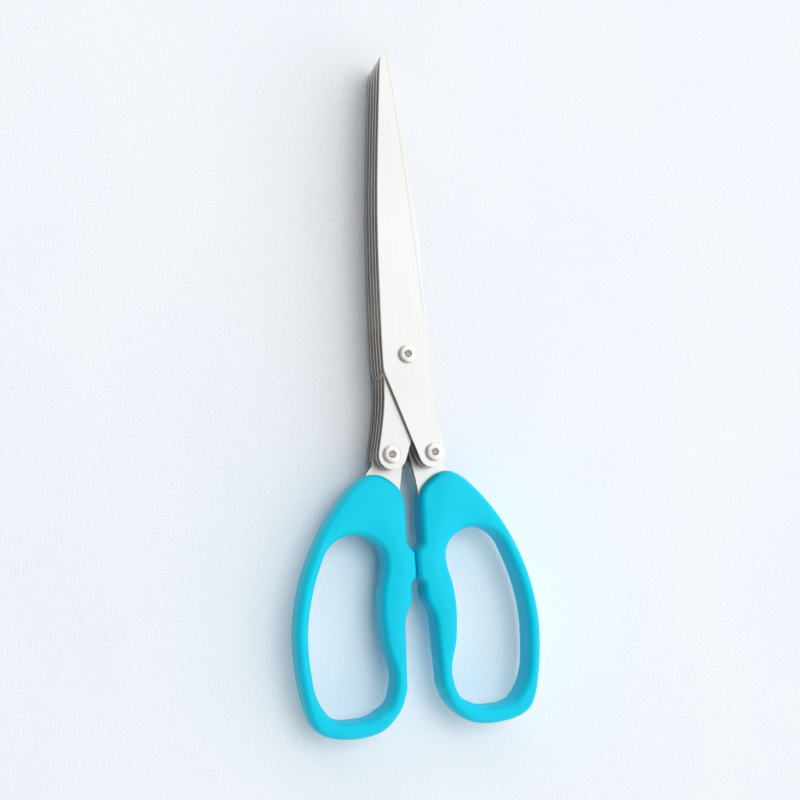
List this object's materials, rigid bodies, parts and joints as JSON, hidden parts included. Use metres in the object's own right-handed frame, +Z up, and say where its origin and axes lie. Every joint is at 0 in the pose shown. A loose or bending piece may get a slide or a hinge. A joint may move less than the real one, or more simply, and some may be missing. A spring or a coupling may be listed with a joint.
{
  "type": "herb scissors",
  "caption": "Multi-blade herb scissors with interleaved ground steel blades, a central pivot screw and overmoulded looped plastic grips, shown closed.",
  "frame": {"origin": "on the pivot axis, at the centre of the flat underside of the pivot barrel's head, the lowest face of the part", "axes": "+Y along the closed blades towards the tips, +Z up along the pivot axis towards the screw heads, +X to the side of the grip that carries the top blade"},
  "size_m": [0.0696, 0.1894, 0.0181],
  "materials": {
    "grip_plastic": "satin turquoise plastic with a fine moulded grain",
    "blade_steel": "fine satin stainless steel with ground bevels",
    "fastener_steel": "turned and tumbled stainless steel",
    "spacer_steel": "plain turned steel"
  },
  "bodies": {
    "left_half": {"left_handle": "grip_plastic", "left_blade_1": "blade_steel", "left_blade_2": "blade_steel", "left_blade_3": "blade_steel", "left_blade_4": "blade_steel", "left_blade_5": "blade_steel", "left_spacer_1": "spacer_steel", "left_spacer_2": "spacer_steel", "left_spacer_3": "spacer_steel", "left_spacer_4": "spacer_steel", "left_stack_barrel": "fastener_steel", "left_stack_screw": "fastener_steel", "pivot_barrel": "fastener_steel", "pivot_screw": "fastener_steel"},
    "right_half": {"right_handle": "grip_plastic", "right_blade_1": "blade_steel", "right_blade_2": "blade_steel", "right_blade_3": "blade_steel", "right_blade_4": "blade_steel", "right_blade_5": "blade_steel", "right_spacer_1": "spacer_steel", "right_spacer_2": "spacer_steel", "right_spacer_3": "spacer_steel", "right_spacer_4": "spacer_steel", "right_stack_barrel": "fastener_steel", "right_stack_screw": "fastener_steel"}
  },
  "joints": [
    {"name": "pivot", "type": "hinge", "parent": "left_half", "child": "right_half", "pos_m": [0, 0, 0], "axis": [0, 0, 1], "range_deg": [0, 144]}
  ]
}
